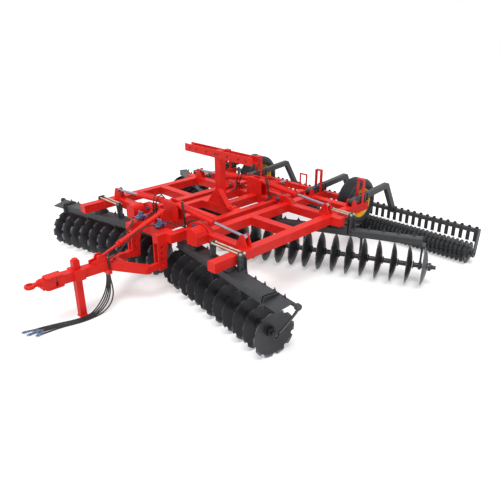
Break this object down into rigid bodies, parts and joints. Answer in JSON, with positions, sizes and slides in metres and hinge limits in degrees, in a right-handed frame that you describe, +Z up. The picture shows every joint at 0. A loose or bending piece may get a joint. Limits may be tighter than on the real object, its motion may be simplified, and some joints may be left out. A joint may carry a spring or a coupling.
{
  "type": "disc harrow",
  "caption": "Towed folding disc harrow with disc gangs set in an X, hinged wings, raised transport wheels and trailing packer rollers.",
  "frame": {"origin": "on the floor, midway between the hitch ring's front and the rollers' rear, on the machine's centre line", "axes": "+X to the machine's left side, -Y along the direction of travel, +Z up"},
  "size_m": [6.264, 6.3055, 1.862],
  "materials": {
    "red_paint": "glossy red enamel",
    "charcoal_paint": "satin charcoal enamel",
    "disc_steel": "black dipped disc steel with bright ground edges",
    "rim_yellow": "glossy yellow enamel",
    "tyre": "matt black rubber",
    "chrome": "hard chrome, polished",
    "zinc": "bright zinc plate",
    "hose_rubber": "satin black hose cover"
  },
  "bodies": {
    "chassis": {"centre_frame": "red_paint", "front_cylinder_post": "red_paint", "rear_cylinder_post": "red_paint", "wing_rest_mast": "red_paint", "valve_block_left": "zinc", "valve_block_right": "zinc"},
    "drawbar": {"drawbar": "red_paint", "hitch_swivel_housing": "red_paint", "hydraulic_hose_1": "hose_rubber", "hydraulic_hose_2": "hose_rubber", "hydraulic_hose_3": "hose_rubber", "hydraulic_hose_4": "hose_rubber", "hydraulic_hose_5": "hose_rubber", "hose_coupler_1": "zinc", "hose_coupler_2": "zinc", "hose_coupler_3": "zinc", "hose_coupler_4": "zinc", "hose_coupler_5": "zinc"},
    "hitch_ring": {"hitch_ring": "red_paint"},
    "parking_stand": {"parking_stand": "red_paint"},
    "levelling_tube": {"levelling_link_tube": "red_paint"},
    "levelling_rod": {"levelling_link_rod": "chrome"},
    "transport_axle": {"transport_axle": "red_paint"},
    "lift_barrel": {"lift_cylinder_barrel": "red_paint"},
    "lift_rod": {"lift_cylinder_rod": "chrome"},
    "wheel_left": {"tyre_left": "tyre", "wheel_rim_left": "rim_yellow"},
    "wing_left": {"wing_frame_left": "red_paint", "front_gang_beam_left": "charcoal_paint", "rear_gang_beam_left": "charcoal_paint", "front_tie_rods_left": "charcoal_paint", "rear_tie_rods_left": "charcoal_paint", "wing_middle_beam_left": "red_paint", "wing_rear_beam_left": "red_paint"},
    "front_fold_barrel_left": {"front_fold_barrel_left": "red_paint"},
    "front_fold_rod_left": {"front_fold_rod_left": "chrome"},
    "front_gang_left": {"front_disc_gang_left": "disc_steel"},
    "rear_fold_barrel_left": {"rear_fold_barrel_left": "red_paint"},
    "rear_fold_rod_left": {"rear_fold_rod_left": "chrome"},
    "rear_gang_left": {"rear_disc_gang_left": "disc_steel"},
    "roller_frame_left": {"roller_frame_left": "charcoal_paint"},
    "roller_left": {"packer_roller_left": "charcoal_paint"},
    "wheel_right": {"tyre_right": "tyre", "wheel_rim_right": "rim_yellow"},
    "wing_right": {"wing_frame_right": "red_paint", "front_gang_beam_right": "charcoal_paint", "rear_gang_beam_right": "charcoal_paint", "front_tie_rods_right": "charcoal_paint", "rear_tie_rods_right": "charcoal_paint", "wing_middle_beam_right": "red_paint", "wing_rear_beam_right": "red_paint"},
    "front_fold_barrel_right": {"front_fold_barrel_right": "red_paint"},
    "front_fold_rod_right": {"front_fold_rod_right": "chrome"},
    "front_gang_right": {"front_disc_gang_right": "disc_steel"},
    "rear_fold_barrel_right": {"rear_fold_barrel_right": "red_paint"},
    "rear_fold_rod_right": {"rear_fold_rod_right": "chrome"},
    "rear_gang_right": {"rear_disc_gang_right": "disc_steel"},
    "roller_frame_right": {"roller_frame_right": "charcoal_paint"},
    "roller_right": {"packer_roller_right": "charcoal_paint"}
  },
  "joints": [
    {"name": "drawbar_pitch", "type": "hinge", "parent": "chassis", "child": "drawbar", "pos_m": [0, -1.3015, 0.5], "axis": [1, 0, 0], "range_deg": [-6, 6]},
    {"name": "levelling_tube_swing", "type": "hinge", "parent": "chassis", "child": "levelling_tube", "pos_m": [0, -0.9715, 1.13], "axis": [1, 0, 0], "range_deg": [-4, 4]},
    {"name": "levelling_rod_slide", "type": "slide", "parent": "levelling_tube", "child": "levelling_rod", "axis": [0, -0.9429, -0.333], "range_m": [-0.07, 0.07]},
    {"name": "hitch_swivel", "type": "hinge", "parent": "drawbar", "child": "hitch_ring", "pos_m": [0, -2.8215, 0.67], "axis": [0, 1, 0], "continuous": true},
    {"name": "parking_stand_lift", "type": "slide", "parent": "drawbar", "child": "parking_stand", "axis": [0, 0, 1], "range_m": [0, 0.35]},
    {"name": "axle_lift", "type": "hinge", "parent": "chassis", "child": "transport_axle", "pos_m": [0, 1.6485, 0.77], "axis": [1, 0, 0], "range_deg": [-70, 0]},
    {"name": "wheel_spin_left", "type": "hinge", "parent": "transport_axle", "child": "wheel_left", "pos_m": [1.185, 2.2985, 0.793], "axis": [1, 0, 0], "continuous": true},
    {"name": "wheel_spin_right", "type": "hinge", "parent": "transport_axle", "child": "wheel_right", "pos_m": [-1.185, 2.2985, 0.793], "axis": [1, 0, 0], "continuous": true},
    {"name": "lift_barrel_swing", "type": "hinge", "parent": "chassis", "child": "lift_barrel", "pos_m": [0, 1.1435, 1.11], "axis": [1, 0, 0], "range_deg": [-22, 0]},
    {"name": "lift_rod_slide", "type": "slide", "parent": "lift_barrel", "child": "lift_rod", "axis": [0, 0.9891, -0.1471], "range_m": [0, 0.26]},
    {"name": "wing_fold_left", "type": "hinge", "parent": "chassis", "child": "wing_left", "pos_m": [0.56, 0, 1.02], "axis": [0, -1, 0], "range_deg": [0, 77]},
    {"name": "front_fold_barrel_swing_left", "type": "hinge", "parent": "chassis", "child": "front_fold_barrel_left", "pos_m": [0.105, -0.7715, 1.205], "axis": [0, -1, 0], "range_deg": [0, 58]},
    {"name": "front_fold_rod_slide_left", "type": "slide", "parent": "front_fold_barrel_left", "child": "front_fold_rod_left", "axis": [0.9971, 0, -0.0756], "range_m": [-0.47, 0]},
    {"name": "front_gang_spin_left", "type": "hinge", "parent": "wing_left", "child": "front_gang_left", "pos_m": [0.2, -0.8815, 0.305], "axis": [0.9848, -0.1736, 0], "continuous": true},
    {"name": "rear_fold_barrel_swing_left", "type": "hinge", "parent": "chassis", "child": "rear_fold_barrel_left", "pos_m": [0.105, 1.0085, 1.205], "axis": [0, -1, 0], "range_deg": [0, 58]},
    {"name": "rear_fold_rod_slide_left", "type": "slide", "parent": "rear_fold_barrel_left", "child": "rear_fold_rod_left", "axis": [0.9971, 0, -0.0756], "range_m": [-0.47, 0]},
    {"name": "rear_gang_spin_left", "type": "hinge", "parent": "wing_left", "child": "rear_gang_left", "pos_m": [0.22, 0.5435, 0.305], "axis": [0.9205, 0.3907, 0], "continuous": true},
    {"name": "roller_arm_left", "type": "hinge", "parent": "wing_left", "child": "roller_frame_left", "pos_m": [1.135, 1.5785, 1.035], "axis": [1, 0, 0], "range_deg": [0, 10]},
    {"name": "roller_spin_left", "type": "hinge", "parent": "roller_frame_left", "child": "roller_left", "pos_m": [1.6, 2.9185, 0.185], "axis": [1, 0, 0], "continuous": true},
    {"name": "wing_fold_right", "type": "hinge", "parent": "chassis", "child": "wing_right", "pos_m": [-0.56, 0, 1.02], "axis": [0, 1, 0], "range_deg": [0, 77]},
    {"name": "front_fold_barrel_swing_right", "type": "hinge", "parent": "chassis", "child": "front_fold_barrel_right", "pos_m": [-0.105, -0.7715, 1.205], "axis": [0, 1, 0], "range_deg": [0, 58]},
    {"name": "front_fold_rod_slide_right", "type": "slide", "parent": "front_fold_barrel_right", "child": "front_fold_rod_right", "axis": [-0.9971, 0, -0.0756], "range_m": [-0.47, 0]},
    {"name": "front_gang_spin_right", "type": "hinge", "parent": "wing_right", "child": "front_gang_right", "pos_m": [-0.2, -0.8815, 0.305], "axis": [-0.9848, -0.1736, 0], "continuous": true},
    {"name": "rear_fold_barrel_swing_right", "type": "hinge", "parent": "chassis", "child": "rear_fold_barrel_right", "pos_m": [-0.105, 1.0085, 1.205], "axis": [0, 1, 0], "range_deg": [0, 58]},
    {"name": "rear_fold_rod_slide_right", "type": "slide", "parent": "rear_fold_barrel_right", "child": "rear_fold_rod_right", "axis": [-0.9971, 0, -0.0756], "range_m": [-0.47, 0]},
    {"name": "rear_gang_spin_right", "type": "hinge", "parent": "wing_right", "child": "rear_gang_right", "pos_m": [-0.22, 0.5435, 0.305], "axis": [-0.9205, 0.3907, 0], "continuous": true},
    {"name": "roller_arm_right", "type": "hinge", "parent": "wing_right", "child": "roller_frame_right", "pos_m": [-1.135, 1.5785, 1.035], "axis": [1, 0, 0], "range_deg": [0, 10]},
    {"name": "roller_spin_right", "type": "hinge", "parent": "roller_frame_right", "child": "roller_right", "pos_m": [-1.6, 2.9185, 0.185], "axis": [1, 0, 0], "continuous": true}
  ],
  "couplings": [
    {"joint": "levelling_tube_swing", "follows": "drawbar_pitch", "ratio": 0.5495},
    {"joint": "levelling_rod_slide", "follows": "drawbar_pitch", "m_per_rad": 0.4839},
    {"joint": "lift_barrel_swing", "follows": "axle_lift", "ratio": 0.2253},
    {"joint": "lift_rod_slide", "follows": "axle_lift", "m_per_rad": -0.1942},
    {"joint": "front_fold_barrel_swing_left", "follows": "wing_fold_left", "ratio": 0.7262},
    {"joint": "front_fold_rod_slide_left", "follows": "wing_fold_left", "m_per_rad": -0.3315},
    {"joint": "rear_fold_barrel_swing_left", "follows": "wing_fold_left", "ratio": 0.7262},
    {"joint": "rear_fold_rod_slide_left", "follows": "wing_fold_left", "m_per_rad": -0.3315},
    {"joint": "front_fold_barrel_swing_right", "follows": "wing_fold_right", "ratio": 0.7262},
    {"joint": "front_fold_rod_slide_right", "follows": "wing_fold_right", "m_per_rad": -0.3315},
    {"joint": "rear_fold_barrel_swing_right", "follows": "wing_fold_right", "ratio": 0.7262},
    {"joint": "rear_fold_rod_slide_right", "follows": "wing_fold_right", "m_per_rad": -0.3315}
  ]
}
